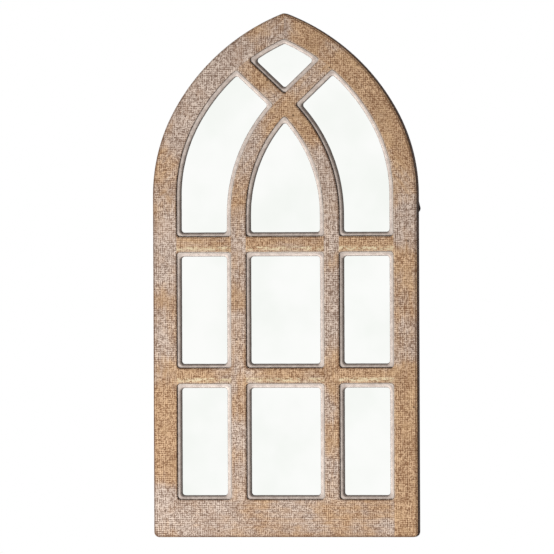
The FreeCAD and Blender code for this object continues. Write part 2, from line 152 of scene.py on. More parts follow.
class Brush:
    """Draws the nodes of one material, from the piece's Object coordinates to its surface."""

    def __init__(self, name: str) -> None:
        """Starts a material with an empty Principled surface.

        Args:
            name: Name of the material.
        """
        self.material = bpy.data.materials.new(name)
        self.material.use_nodes = True
        self.tree = self.material.node_tree
        self.surface = self.tree.nodes["Principled BSDF"]
        coordinates = self.node("ShaderNodeTexCoord", {})
        self.place = coordinates.outputs["Object"]
        self.facing = coordinates.outputs["Normal"]

    def node(self, kind: str, inputs: Inputs, **settings: object) -> bpy.types.Node:
        """Adds a node to the material."""
        return add_node(self.tree, kind, inputs, **settings)

    def moved(
        self, offset: float = 0.0, turn: float = 0.0, stretch: tuple[float, float, float] = (1, 1, 1)
    ) -> Socket:
        """The Object coordinates, shifted, turned about the depth axis and stretched.

        Args:
            offset: Shift along every axis, so that no two pieces share a pattern.
            turn: Degrees of the pattern's own X axis from level.
            stretch: Scale along the three axes after the turn.

        Returns:
            The coordinates for a texture.
        """
        turned = self.node(
            "ShaderNodeMapping", {0: self.place, 1: (offset, offset, offset), 2: (0, math.radians(turn), 0)}
        )
        return self.node("ShaderNodeMapping", {0: turned.outputs[0], 3: stretch}).outputs[0]

    def noise(self, at: Socket, scale: float, detail: float = 3.0, rough: float = 0.55) -> Socket:
        """Cloudy noise from 0 to 1.

        Args:
            at: Coordinates.
            scale: Features to a metre.
            detail: Number of finer layers.
            rough: Strength of the finer layers.

        Returns:
            The noise.
        """
        inputs = {"Vector": at, "Scale": scale, "Detail": detail, "Roughness": rough}
        return self.node("ShaderNodeTexNoise", inputs).outputs[0]

    def threads(self, at: Socket, direction: str, pitch: float, wander: float) -> Socket:
        """Even lines, as a saw leaves them, that wander a little.

        Args:
            at: Coordinates.
            direction: Axis across the lines, X or Z.
            pitch: Metres from line to line.
            wander: Strength of the wandering.

        Returns:
            The lines, from 0 to 1.
        """
        inputs = {"Vector": at, "Scale": WAVE_PITCH / pitch, "Distortion": wander}
        inputs |= {"Detail": 2.0, "Detail Scale": 0.6}
        made = self.node("ShaderNodeTexWave", inputs, wave_type="BANDS", bands_direction=direction)
        return made.outputs[1]

    def dots(self, at: Socket, scale: float, radius: float) -> Socket:
        """Round dots, one to a cell: one in the middle, and zero past a radius in cells."""
        made = self.node("ShaderNodeTexVoronoi", {"Vector": at, "Scale": scale, "Randomness": 1.0})
        return self.level(made.outputs[0], radius, radius / 2)

    def level(self, value: Value, low: float, high: float, start: float = 0.0, end: float = 1.0) -> Socket:
        """A value carried smoothly from one span to another, and held at its ends.

        Args:
            value: What is read.
            low: Reading that gives the start.
            high: Reading that gives the end.
            start: Result at the low reading.
            end: Result at the high reading.

        Returns:
            The result.
        """
        inputs = {0: value, 1: low, 2: high, 3: start, 4: end}
        return self.node("ShaderNodeMapRange", inputs, interpolation_type="SMOOTHSTEP").outputs[0]

    def calc(self, operation: str, first: Value, second: Value = 0.0) -> Socket:
        """One sum on two values, under Blender's name for it."""
        return self.node("ShaderNodeMath", {0: first, 1: second}, operation=operation).outputs[0]

    def mix(self, share: Value, first: Colour, second: Colour) -> Socket:
        """Two colours in one, with the second one's share."""
        inputs = {0: share, 6: first, 7: second}
        return self.node("ShaderNodeMix", inputs, data_type="RGBA").outputs[2]

    def shades(self, value: Value, low: float, high: float, first: Tone, second: Tone) -> Socket:
        """A colour that goes from the first tone to the second as a value rises from low to high."""
        return self.mix(self.level(value, low, high), paint(first), paint(second))

    def tint(
        self, colour: Colour, value: Value, low: float, high: float, amount: float, tone: Tone
    ) -> Socket:
        """A colour with a tone laid over it, up to an amount, as a value rises from low to high."""
        return self.mix(self.level(value, low, high, 0.0, amount), colour, paint(tone))

    def blend(self, first: Socket, share: float, second: Socket, rest: float) -> Socket:
        """Two values added, each by its own share."""
        return self.calc("ADD", self.calc("MULTIPLY", first, share), self.calc("MULTIPLY", second, rest))

    def axis(self, vector: Socket, index: int) -> Socket:
        """One of the three numbers of a vector."""
        return self.node("ShaderNodeSeparateXYZ", {0: vector}).outputs[index]

    def carried(self, name: str) -> Socket:
        """The number that each vertex carries under a name."""
        return self.node("ShaderNodeAttribute", {}, attribute_name=name).outputs["Fac"]

    def relief(self, height: Value, depth: float, strength: float) -> Socket:
        """A normal bumped by a height from 0 to 1, with its depth in metres and its strength."""
        inputs = {"Strength": strength, "Distance": depth, "Height": height}
        return self.node("ShaderNodeBump", inputs).outputs[0]

    def done(
        self, colour: Colour, rough: Value, normal: Socket, metal: Value = 0.0, shine: float = 0.5
    ) -> Material:
        """Joins everything to the surface.

        Args:
            colour: Colour of the surface.
            rough: Roughness.
            normal: Bumped normal.
            metal: Share that is bare metal.
            shine: Specular level.

        Returns:
            The finished material.
        """
        inputs = {"Base Color": colour, "Roughness": rough, "Metallic": metal, "Normal": normal}
        feed(self.tree, self.surface, inputs | {"Specular IOR Level": shine})
        return self.material


@dataclass(frozen=True)
class Rub:
    """A place where the whitewash was left thick, or was rubbed off where the amount is negative."""

    across: float
    up: float
    reach: float
    amount: float
    core: float = 0.35


@dataclass(frozen=True)
class WhitewashedWood:
    """A board of ginger stained wood under rubbed whitewash, dark on its sides and bare on its back."""

    node: str
    grain: Grain
    wash: float
    seed: int
    rubs: tuple[Rub, ...] = ()
    streak_height: float | None = None
    streak_reach: float = 0.0045
    streak_scale: float = 300.0
    thread_pitch: float = 0.0033
    thread_wander: float = 1.6
    dash_scale: float = 720.0
    groove_depth: float = 0.00035
    grain_scale: float = 26.0
    grain_stretch: float = 22.0
    fine_scale: float = 620.0
    mottle_scale: float = 55.0
    grime_scale: float = 26.0
    knot_scale: float = 70.0
    knot_radius: float = 0.16
    blotch_scale: float = 15.0
    blotch_spread: float = 0.3
    torn_scale: float = 30.0
    ragged: float = 1.2
    covers: tuple[float, float] = (0.08, 0.9)
    relief_depth: float = 0.0005

    def thickness(self, brush: Brush) -> Socket:
        """How thick the whitewash lies: by chance, and more or less at the rubbed places.

        Args:
            brush: Draws the nodes.

        Returns:
            The thickness, from 0 to 1.
        """
        blotch = brush.noise(brush.place, self.blotch_scale, 3, 0.5)
        torn = brush.noise(brush.moved(0.0, self.grain.value, (1.0, 1.0, 5.0)), self.torn_scale, 4, 0.65)
        spread = self.blotch_spread
        total = brush.level(blotch, 0.38, 0.62, self.wash - spread, self.wash + spread)
        for rub in self.rubs:
            centre = (rub.across, FRONT_PLANE, rub.up)
            away = brush.node("ShaderNodeVectorMath", {0: brush.place, 1: centre}, operation="DISTANCE")
            share = brush.level(away.outputs["Value"], rub.reach * rub.core, rub.reach, rub.amount, 0.0)
            total = brush.calc("ADD", total, share)
        frayed = brush.calc("MULTIPLY", brush.calc("SUBTRACT", torn, 0.5), self.ragged)
        return brush.level(brush.calc("ADD", total, frayed), 0.0, 1.0, *self.covers)

    def streak(self, brush: Brush) -> Socket:
        """A broken pale streak along a level board, where the wash ran and dried.

        Args:
            brush: Draws the nodes.

        Returns:
            The strength of the streak, from 0 to 1.
        """
        above = brush.calc("SUBTRACT", brush.axis(brush.place, 2), self.streak_height)
        away = brush.calc("ABSOLUTE", above)
        band = brush.level(away, self.streak_reach * 0.3, self.streak_reach, 0.95, 0.0)
        at = brush.moved(self.seed * SEED_STEP, 0.0, (0.45, 1.0, 1.0))
        broken = brush.noise(at, self.streak_scale, 5, 0.8)
        return brush.calc("MULTIPLY", band, brush.level(broken, 0.47, 0.56))

    def weave(self, brush: Brush, at: Socket) -> Socket:
        """The linen look that crossed saw marks give, broken into short dashes.

        Args:
            brush: Draws the nodes.
            at: Coordinates.

        Returns:
            The weave, from 0 to 1.
        """
        upright = brush.threads(at, "X", self.thread_pitch, self.thread_wander)
        level = brush.threads(at, "Z", self.thread_pitch * 0.93, self.thread_wander)
        even = brush.calc("MULTIPLY", brush.calc("ADD", upright, level), 0.5)
        tall = brush.node("ShaderNodeMapping", {0: at, 3: (1.0, 1.0, 0.25)}).outputs[0]
        wide = brush.node("ShaderNodeMapping", {0: at, 3: (0.25, 1.0, 1.0)}).outputs[0]
        tall, wide = (brush.noise(stretched, self.dash_scale, 1, 0.5) for stretched in (tall, wide))
        dashes = brush.level(brush.calc("ADD", tall, wide), 0.72, 1.28)
        return brush.blend(even, 0.46, dashes, 0.54)

    def material(self) -> Material:
        """Builds the finish.

        Returns:
            The material.
        """
        brush = Brush(f"whitewashed_{self.node.removesuffix('_bar')}")
        shift = self.seed * SEED_STEP
        at = brush.moved(shift)
        along = brush.moved(shift, self.grain.value, (1.0, 1.0, self.grain_stretch))
        grain = brush.noise(along, self.grain_scale, 4, 0.6)
        fine = brush.noise(at, self.fine_scale, 2)
        mottle = brush.noise(brush.place, self.mottle_scale, 3, 0.5)
        weave = self.weave(brush, at)
        depth = brush.calc("ADD", brush.axis(brush.place, 1), -FRONT_PLANE)
        groove = brush.level(depth, 0.0, self.groove_depth)
        thread = brush.blend(weave, 0.7, brush.level(fine, 0.36, 0.64), 0.3)
        thread = brush.calc("SUBTRACT", thread, brush.calc("MULTIPLY", groove, 0.12))
        thread = brush.level(thread, 0.24, 0.74)

        stained = brush.mix(thread, paint((130, 90, 60)), paint((238, 200, 158)))
        stained = brush.tint(stained, grain, 0.35, 0.7, 0.35, (172, 124, 84))
        stained = brush.tint(stained, mottle, 0.45, 0.7, 0.35, (230, 192, 146))
        washed = brush.mix(thread, paint((136, 113, 99)), paint((240, 222, 208)))
        washed = brush.tint(washed, mottle, 0.45, 0.7, 0.25, (206, 172, 148))
        front = brush.mix(self.thickness(brush), stained, washed)
        if self.streak_height is not None:
            front = brush.mix(self.streak(brush), front, paint((244, 226, 188)))
        grime = brush.noise(brush.place, self.grime_scale, 3, 0.6)
        front = brush.tint(front, grime, 0.42, 0.66, 0.2, (126, 88, 62))
        pits = brush.calc("MULTIPLY", brush.level(fine, 0.6, 0.72), brush.level(weave, 0.5, 0.3))
        front = brush.mix(brush.calc("MULTIPLY", pits, 0.7), front, paint((98, 62, 38)))
        knots = brush.dots(at, self.knot_scale, self.knot_radius)
        knots = brush.calc("MULTIPLY", knots, brush.level(mottle, 0.54, 0.62))
        front = brush.mix(brush.calc("MULTIPLY", knots, 0.8), front, paint((74, 46, 28)))
        # Dark glaze along the open edges, deepened into painted shade on the edges turned away from the low
        # left light.
        edge_glaze_and_painted_light = brush.carried(EDGE_GLAZE_AND_PAINTED_LIGHT)
        front = brush.tint(front, edge_glaze_and_painted_light, 0.0, 1.0, 1.0, (92, 62, 42))

        # The side faces get a near-black brown, and the back stays bare wood.
        side_tone = brush.shades(grain, 0.3, 0.7, (44, 27, 17), (74, 48, 31))
        bare = brush.shades(grain, 0.3, 0.7, (150, 112, 76), (192, 153, 110))
        facing = brush.axis(brush.facing, 1)
        colour = brush.mix(brush.level(facing, -0.72, -0.35), front, side_tone)
        # Painted highlight: a pale tint on the edges of the lights turned towards the low left light.
        colour = brush.tint(colour, edge_glaze_and_painted_light, -0.1, -0.9, 0.3, (236, 222, 208))
        colour = brush.mix(brush.level(facing, 0.5, 0.8), colour, bare)

        height = brush.calc("ADD", brush.blend(weave, 0.5, grain, 0.3), brush.calc("MULTIPLY", fine, 0.3))
        normal = brush.relief(height, self.relief_depth, 0.6)
        return brush.done(colour, brush.level(mottle, 0.3, 0.7, 0.68, 0.85), normal, shine=0.12)


@dataclass(frozen=True)
class RubbedBead:
    """Chalky moulding, glazed low, with painted shade in its creases and shaded sides, and painted
    highlights.
    """

    name: str
    seed: int
    streak_scale: float = 130.0
    fine_scale: float = 800.0
    relief_depth: float = 0.0004

    def material(self) -> Material:
        """Builds the finish.

        Returns:
            The material.
        """
        brush = Brush(self.name)
        at = brush.moved(self.seed * SEED_STEP)
        streaks = brush.noise(at, self.streak_scale, 4, 0.65)
        fine = brush.noise(at, self.fine_scale, 2)
        # Darker towards the glass: glaze low on the flank, then a near-black that is glaze plus painted
        # shade in the crease where the bead meets the glass.
        low = brush.level(brush.axis(brush.place, 1), BEAD_CREST, BEAD_FOOT)
        crest = brush.shades(streaks, 0.35, 0.65, (196, 180, 170), (226, 211, 200))
        flank = brush.shades(streaks, 0.35, 0.65, (166, 154, 148), (200, 188, 180))
        colour = brush.mix(brush.level(low, 0.05, 0.4), crest, flank)
        colour = brush.tint(colour, low, 0.16, 0.44, 0.8, (100, 82, 72))
        colour = brush.tint(colour, low, 0.8, 0.98, 0.9, (44, 36, 34))
        # Painted shade: the bead's faces turned right and up are darkened, away from the low left light.
        painted_shade_facing = brush.calc("MULTIPLY", brush.axis(brush.facing, 0), 0.7)
        painted_shade_facing = brush.calc("ADD", painted_shade_facing, brush.axis(brush.facing, 2))
        colour = brush.tint(colour, painted_shade_facing, 0.05, 0.7, 0.5, (90, 72, 62))
        # Dark glaze with painted shade in the quirk along the edges turned from the light, and a painted
        # highlight on those turned towards it.
        edge_glaze_and_painted_light = brush.carried(EDGE_GLAZE_AND_PAINTED_LIGHT)
        colour = brush.tint(colour, edge_glaze_and_painted_light, 0.0, 1.0, 1.0, (70, 52, 42))
        colour = brush.tint(colour, edge_glaze_and_painted_light, -0.1, -0.9, 0.9, (246, 236, 226))
        colour = brush.tint(colour, fine, 0.6, 0.75, 0.4, (110, 90, 80))
        normal = brush.relief(brush.blend(streaks, 0.7, fine, 0.3), self.relief_depth, 0.6)
        return brush.done(colour, brush.level(streaks, 0.3, 0.7, 0.5, 0.72), normal, shine=0.3)


@dataclass(frozen=True)
class SilveredGlass:
    """Mirror glass: bright on its front, and grey backing paint on its back and edge."""

    name: str
    smear_scale: float = 9.0
    dust_scale: float = 700.0

    def material(self) -> Material:
        """Builds the finish.

        Returns:
            The material.
        """
        brush = Brush(self.name)
        smears = brush.noise(brush.place, self.smear_scale, 3)
        dust = brush.noise(brush.place, self.dust_scale, 2)
        silver = brush.shades(smears, 0.35, 0.7, (251, 252, 250), (244, 247, 243))
        backing = brush.shades(dust, 0.4, 0.6, (92, 98, 100), (112, 118, 120))
        behind = brush.level(brush.axis(brush.facing, 1), -0.9, -0.5)
        colour = brush.mix(behind, silver, backing)
        clouded = brush.level(smears, 0.4, 0.8, 0.004, 0.02)
        rough = brush.calc("ADD", brush.level(behind, 0.0, 1.0, 0.0, 0.5), clouded)
        metal = brush.calc("SUBTRACT", 1.0, behind)
        return brush.done(colour, rough, brush.relief(smears, 0.00002, 0.2), metal)


@dataclass(frozen=True)
class PackingFoam:
    """Thin white foam with small closed cells."""

    name: str
    cell_scale: float = 900.0
    cloud_scale: float = 40.0

    def material(self) -> Material:
        """Builds the finish.

        Returns:
            The material.
        """
        brush = Brush(self.name)
        inputs = {"Vector": brush.place, "Scale": self.cell_scale}
        cells = brush.node("ShaderNodeTexVoronoi", inputs).outputs[0]
        cloud = brush.noise(brush.place, self.cloud_scale)
        colour = brush.shades(cloud, 0.3, 0.7, (222, 224, 222), (240, 240, 236))
        colour = brush.mix(brush.level(cells, 0.0, 0.6, 0.3, 0.0), colour, paint((180, 182, 180)))
        return brush.done(colour, 0.85, brush.relief(cells, 0.0004, 0.8), shine=0.25)


@dataclass(frozen=True)
class Hardboard:
    """Brown pressed fibre with the print of a wire screen on its rough face."""

    name: str
    cloud_scale: float = 14.0
    fibre_scale: float = 260.0
    fibre_turn: float = 20.0
    screen_pitch: float = 0.0021

    def material(self) -> Material:
        """Builds the finish.

        Returns:
            The material.
        """
        brush = Brush(self.name)
        cloud = brush.noise(brush.place, self.cloud_scale, 5, 0.6)
        fibres = brush.noise(brush.moved(0.0, self.fibre_turn, (1.0, 1.0, 5.0)), self.fibre_scale, 4, 0.7)
        upright, level = (brush.threads(brush.place, axis, self.screen_pitch, 0.5) for axis in "XZ")
        screen = brush.calc("MULTIPLY", upright, level)
        colour = brush.shades(cloud, 0.3, 0.7, (116, 80, 50), (146, 104, 68))
        colour = brush.tint(colour, fibres, 0.5, 0.72, 0.55, (178, 138, 98))
        colour = brush.mix(brush.level(screen, 0.1, 0.7, 0.35, 0.0), colour, paint((78, 52, 32)))
        normal = brush.relief(brush.blend(screen, 0.6, fibres, 0.4), 0.0004, 0.7)
        return brush.done(colour, brush.level(fibres, 0.3, 0.7, 0.6, 0.8), normal)


@dataclass(frozen=True)
class ZincSteel:
    """Bright zinc on steel, with faint spangle and fingered spots."""

    name: str
    warm: float
    spangle_scale: float = 420.0
    rub_scale: float = 320.0

    def material(self) -> Material:
        """Builds the finish.

        Returns:
            The material.
        """
        brush = Brush(self.name)
        inputs = {"Vector": brush.place, "Scale": self.spangle_scale}
        tone = brush.axis(brush.node("ShaderNodeTexVoronoi", inputs).outputs[1], 0)
        rub = brush.noise(brush.moved(0.0, 30.0, (1.0, 1.0, 9.0)), self.rub_scale, 3)
        cold = brush.shades(tone, 0.0, 1.0, (168, 171, 174), (204, 206, 206))
        colour = brush.mix(self.warm, cold, paint((206, 178, 112)))
        colour = brush.tint(colour, rub, 0.55, 0.8, 0.4, (120, 116, 108))
        worn = brush.level(rub, 0.3, 0.7, 0.24, 0.42)
        rough = brush.calc("ADD", worn, brush.calc("MULTIPLY", tone, 0.06))
        return brush.done(colour, rough, brush.relief(rub, 0.0001, 0.4), 1.0)


@dataclass(frozen=True)
class BlackSteel:
    """Black lacquered steel, rubbed a little on its high places."""

    name: str
    peel_scale: float = 900.0
    rub_scale: float = 240.0
    metal: float = 0.35

    def material(self) -> Material:
        """Builds the finish.

        Returns:
            The material.
        """
        brush = Brush(self.name)
        peel = brush.noise(brush.place, self.peel_scale, 2)
        rub = brush.noise(brush.place, self.rub_scale, 4, 0.65)
        colour = brush.shades(peel, 0.3, 0.7, (18, 18, 20), (34, 34, 36))
        colour = brush.tint(colour, rub, 0.64, 0.76, 0.5, (96, 94, 92))
        rough = brush.level(rub, 0.3, 0.7, 0.3, 0.46)
        return brush.done(colour, rough, brush.relief(peel, 0.00008, 0.5), self.metal)


@dataclass(frozen=True)
class BlackRubber:
    """Matt black rubber with a moulded grain and a little dust."""

    name: str
    grain_scale: float = 1400.0
    dust_scale: float = 180.0

    def material(self) -> Material:
        """Builds the finish.

        Returns:
            The material.
        """
        brush = Brush(self.name)
        grain = brush.noise(brush.place, self.grain_scale, 2)
        dust = brush.noise(brush.place, self.dust_scale, 4, 0.6)
        colour = brush.tint(paint((30, 30, 31)), dust, 0.45, 0.75, 0.5, (72, 69, 65))
        return brush.done(colour, brush.level(dust, 0.3, 0.7, 0.68, 0.88), brush.relief(grain, 0.0002, 0.6))


@dataclass(frozen=True)
class BeechDowel:
    """Pale turned beech with short dark flecks."""

    name: str
    fleck_scale: float = 240.0

    def material(self) -> Material:
        """Builds the finish.

        Returns:
            The material.
        """
        brush = Brush(self.name)
        flecks = brush.noise(brush.moved(0.0, 0.0, (1.0, 6.0, 6.0)), self.fleck_scale, 3)
        colour = brush.shades(flecks, 0.35, 0.7, (216, 182, 140), (178, 138, 96))
        return brush.done(colour, 0.6, brush.relief(flecks, 0.0002, 0.5), shine=0.35)


def deselect() -> None:
    """Leaves object mode with nothing selected."""
    if bpy.context.object and bpy.context.object.mode != "OBJECT":
        bpy.ops.object.mode_set(mode="OBJECT")
    bpy.ops.object.select_all(action="DESELECT")


def take(piece: Piece) -> None:
    """Makes a piece the only selected object and the active one.

    Args:
        piece: The object to work on.
    """
    deselect()
    piece.select_set(True)
    bpy.context.view_layer.objects.active = piece


def edit(action: str = "SELECT") -> None:
    """Opens the active piece in edit mode, with all or none of it selected.

    Args:
        action: SELECT or DESELECT.
    """
    bpy.ops.object.mode_set(mode="EDIT")
    bpy.ops.mesh.select_mode(type="VERT")
    bpy.ops.mesh.select_all(action=action)


def corners(piece: Piece) -> np.ndarray:
    """The places of a mesh's vertices.

    Args:
        piece: A mesh object in object mode.

    Returns:
        One row of x, y and z for each vertex.
    """
    flat = np.empty(len(piece.data.vertices) * 3, np.float32)
    piece.data.vertices.foreach_get("co", flat)
    return flat.reshape(-1, 3)


def choose(piece: Piece, wanted: np.ndarray) -> None:
    """Opens a piece in edit mode with only some of its vertices selected.

    Args:
        piece: A mesh object in object mode.
        wanted: Whether each vertex is selected.
    """
    edit("DESELECT")
    bpy.ops.object.mode_set(mode="OBJECT")
    piece.data.vertices.foreach_set("select", wanted)
    bpy.ops.object.mode_set(mode="EDIT")


def apply(piece: Piece, kind: str, **settings: object) -> None:
    """Puts a modifier on a piece and applies it.

    Args:
        piece: The object.
        kind: Blender's name of the modifier.
        **settings: The modifier's own properties.
    """
    take(piece)
    modifier = piece.modifiers.new(kind.title(), kind)
    for key, value in settings.items():
        setattr(modifier, key, value)
    bpy.ops.object.modifier_apply(modifier=modifier.name)


def roughen(piece: Piece, grain: float, depth: float, direction: str = "NORMAL") -> None:
    """Moves a piece's vertices by a cloudy pattern.

    Args:
        piece: The object.
        grain: Size of the pattern, in metres.
        depth: Greatest move from end to end, in metres.
        direction: NORMAL, or an axis.
    """
    cloud = bpy.data.textures.new(f"cloud_{grain * 1e4:.0f}", "CLOUDS")
    cloud.noise_scale = grain
    cloud.noise_depth = 2
    settings = {"texture": cloud, "strength": depth, "mid_level": 0.5, "direction": direction}
    apply(piece, "DISPLACE", **settings)


def merged_copy(node: str, name: str) -> Piece:
    """A new object with a CAD node's shape, whose loose triangles are joined.

    Args:
        node: Name of the CAD node.
        name: Name of the new object.

    Returns:
        The new object, which is the active one.
    """
    piece = bpy.data.objects.new(name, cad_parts[node].data.copy())
    bpy.context.scene.collection.objects.link(piece)
    piece.data.name = name
    piece.data.materials.clear()
    take(piece)
    if piece.data.has_custom_normals:
        bpy.ops.mesh.customdata_custom_splitnormals_clear()
    edit()
    bpy.ops.mesh.remove_doubles(threshold=MERGE_DISTANCE)
    bpy.ops.object.mode_set(mode="OBJECT")
    return piece


def join_flats(piece: Piece) -> None:
    """Joins the triangles of each flat face of the piece.

    Args:
        piece: The object.
    """
    take(piece)
    edit()
    bpy.ops.mesh.dissolve_limited(angle_limit=FLAT_ANGLE)
    bpy.ops.object.mode_set(mode="OBJECT")


def ease(piece: Piece, edge: Edge, segments: int = 2) -> None:
    """Rounds a piece's sharp edges.

    Args:
        piece: The object.
        edge: How far they are eased.
        segments: Faces across each rounding.
    """
    settings = {"width": edge.value, "segments": segments, "limit_method": "ANGLE"}
    apply(piece, "BEVEL", angle_limit=SMOOTH_ANGLE, use_clamp_overlap=True, **settings)


def slice_across(piece: Piece, step: float) -> None:
    """Cuts new edges across a piece in even steps, square to X and then to Z, without parting it.

    Args:
        piece: The object.
        step: Metres from cut to cut.
    """
    take(piece)
    for axis, normal in ((0, Vector((1, 0, 0))), (2, Vector((0, 0, 1)))):
        places = corners(piece)[:, axis]
        for number in range(1, int((places.max() - places.min()) / step)):
            edit()
            at = normal * float(places.min() + number * step)
            bpy.ops.mesh.bisect(plane_co=at, plane_no=normal)
        bpy.ops.object.mode_set(mode="OBJECT")


def hang_up(piece: Piece, node: str, body: str, finish: Material) -> None:
    """Gives a new piece its smooth shading, its finish and its place in the assembly.

    Args:
        piece: The new object.
        node: The CAD node that it stands for.
        body: The CAD body that carries it.
        finish: The material.
    """
    take(piece)
    bpy.ops.object.shade_smooth_by_angle(angle=SMOOTH_ANGLE)
    piece.data.materials.clear()
    piece.data.materials.append(finish)
    piece.data.polygons.foreach_set("material_index", [0] * len(piece.data.polygons))
    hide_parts(node)
    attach(piece, body)
    log.info("%s: %d faces, stands for %s", piece.name, len(piece.data.polygons), node)


def hang_eased(
    node: str, name: str, finish: Material, edge: Edge, segments: int = 2
) -> None:
    """Copies a CAD node, eases its sharp edges and puts it in its place on the frame.

    Args:
        node: Name of the CAD node.
        name: Name of the new object.
        finish: The material.
        edge: How far its edges are eased.
        segments: Faces across each rounding.
    """
    piece = merged_copy(node, name)
    join_flats(piece)
    ease(piece, edge, segments)
    hang_up(piece, node, FRAME_BODY, finish)


def sorted_places(places: list[np.ndarray] | np.ndarray) -> kdtree.KDTree:
    """Sorts places, so that the nearest one is found quickly.

    Args:
        places: x, y and z of each place.

    Returns:
        The places, numbered in the order given.
    """
    tree = kdtree.KDTree(len(places))
    for number, place in enumerate(places):
        tree.insert(place, number)
    tree.balance()
    return tree


def dress_node(node: str, finish: Material) -> None:
    """Gives a CAD node that stays in view its finish.

    Args:
        node: Name of the node.
        finish: The material.
    """
    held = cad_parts[node]
    for slot in held.material_slots:
        slot.material = finish
    log.info("%s: CAD node, finished in %s", node, finish.name)


@dataclass
class Arrises:
    """The wood's edges around the lights and around the frame: dark glaze with painted shade on the edges
    turned from the low left light, and a painted highlight on those turned towards it.

    The marks are places from the low left to the high right of an edge, and the shares are how much dark
    glaze and painted shade lies there, or how much painted highlight where they are under zero.
    """

    nodes: tuple[str, ...]
    step: float = 0.0006
    joint_reach: float = 0.0004
    outline_step: float = 0.004
    outline_reach: float = 0.012
    foot_reach: float = 0.006
    edge_tint_reach: float = 0.0018
    shade_side_marks: tuple[float, ...] = (-0.8, -0.2, 0.2, 0.9)
    light_shares: tuple[float, ...] = (-0.9, -0.1, 0.22, 0.9)
    frame_shares: tuple[float, ...] = (0.3, 0.25, 0.3, 0.9)
    open_edges: kdtree.KDTree = field(init=False)
    outside: np.ndarray = field(init=False)

    def __post_init__(self) -> None:
        """Follows the front edges of every board, and leaves out the joints between two boards."""
        borders = [self.border(node) for node in self.nodes]
        kept = []
        for number, border in enumerate(borders):
            others = np.concatenate([other for place, other in enumerate(borders) if place != number])
            tree = sorted_places(others)
            kept += [place for place in border if tree.find(place)[2] > self.joint_reach]
        self.open_edges = sorted_places(kept)
        self.outside = self.on_the_outside(np.array(kept))
        log.info("arrises: %d points along the open edges", len(kept))

    def on_the_outside(self, places: np.ndarray) -> np.ndarray:
        """Tells the edges around the frame from those around the lights.

        Args:
            places: One row of x, y and z for each point along the open edges.

        Returns:
            Whether each point lies on the frame's outline, which is as wide on the left as on the right.
        """
        low = places[:, 2].min()
        rows = ((places[:, 2] - low) / self.outline_step).astype(int)
        widest = np.zeros(rows.max() + 1)
        np.maximum.at(widest, rows, np.abs(places[:, 0]))
        beside = np.abs(places[:, 0]) > widest[rows] - self.outline_reach
        return beside | (places[:, 2] < low + self.foot_reach)

    def border(self, node: str) -> np.ndarray:
        """Even points along the outline of a board's front.

        Args:
            node: The board's CAD node.

        Returns:
            One row of x, y and z for each point, on the plane of y = 0.
        """
        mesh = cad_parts[node].data
        places = corners(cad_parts[node])
        seen: dict[tuple, int] = {}
        for face in mesh.polygons:
            round_face = [tuple(np.round(places[vertex], 6)) for vertex in face.vertices]
            if any(abs(place[1] - FRONT_PLANE) > MERGE_DISTANCE * 10 for place in round_face):
                continue
            for start, end in zip(round_face, round_face[1:] + round_face[:1]):
                edge = (min(start, end), max(start, end))
                seen[edge] = seen.get(edge, 0) + 1
        points = []
        for (start, end), count in seen.items():
            if count == 1:
                near, far = (np.array((place[0], 0.0, place[2])) for place in (start, end))
                pieces = max(1, math.ceil(np.linalg.norm(far - near) / self.step))
                points += [near + (far - near) * share / pieces for share in range(pieces + 1)]
        return np.array(points)

    def mark(self, piece: Piece, towards: int) -> None:
        """Writes the attribute by which a finish paints dark glaze with painted shade, and a painted
        highlight, along the open edges.

        The edges turned away from the low left key light get a dark glaze deepened into painted shade, and
        the edges of the lights turned towards it get a painted highlight, as numbers under zero.

        Args:
            piece: The sawn board or the bead.
            towards: 1 where the piece lies outside the lights, or -1 where it lies inside them.
        """
        places = corners(piece) * (1, 0, 1)
        found = [self.open_edges.find(place) for place in places]
        away = np.array([distance for _, _, distance in found])
        step = np.array([tuple(nearest) for nearest, _, _ in found]) - places
        # High where the piece lies on the side of an edge turned away from the low left light: painted
        # shade there, painted highlight where it is low.
        shade_side = towards * (step[:, 0] + step[:, 2]) / np.maximum(away, MERGE_DISTANCE)
        around_lights = np.interp(shade_side, self.shade_side_marks, self.light_shares)
        around_frame = np.interp(shade_side, self.shade_side_marks, self.frame_shares)
        outside = self.outside[[number for _, number, _ in found]]
        share = np.exp(-np.square(away / self.edge_tint_reach)) * np.where(outside, around_frame, around_lights)
        values = share.astype(np.float32)
        piece.data.attributes.new(EDGE_GLAZE_AND_PAINTED_LIGHT, "FLOAT", "POINT").data.foreach_set("value", values)


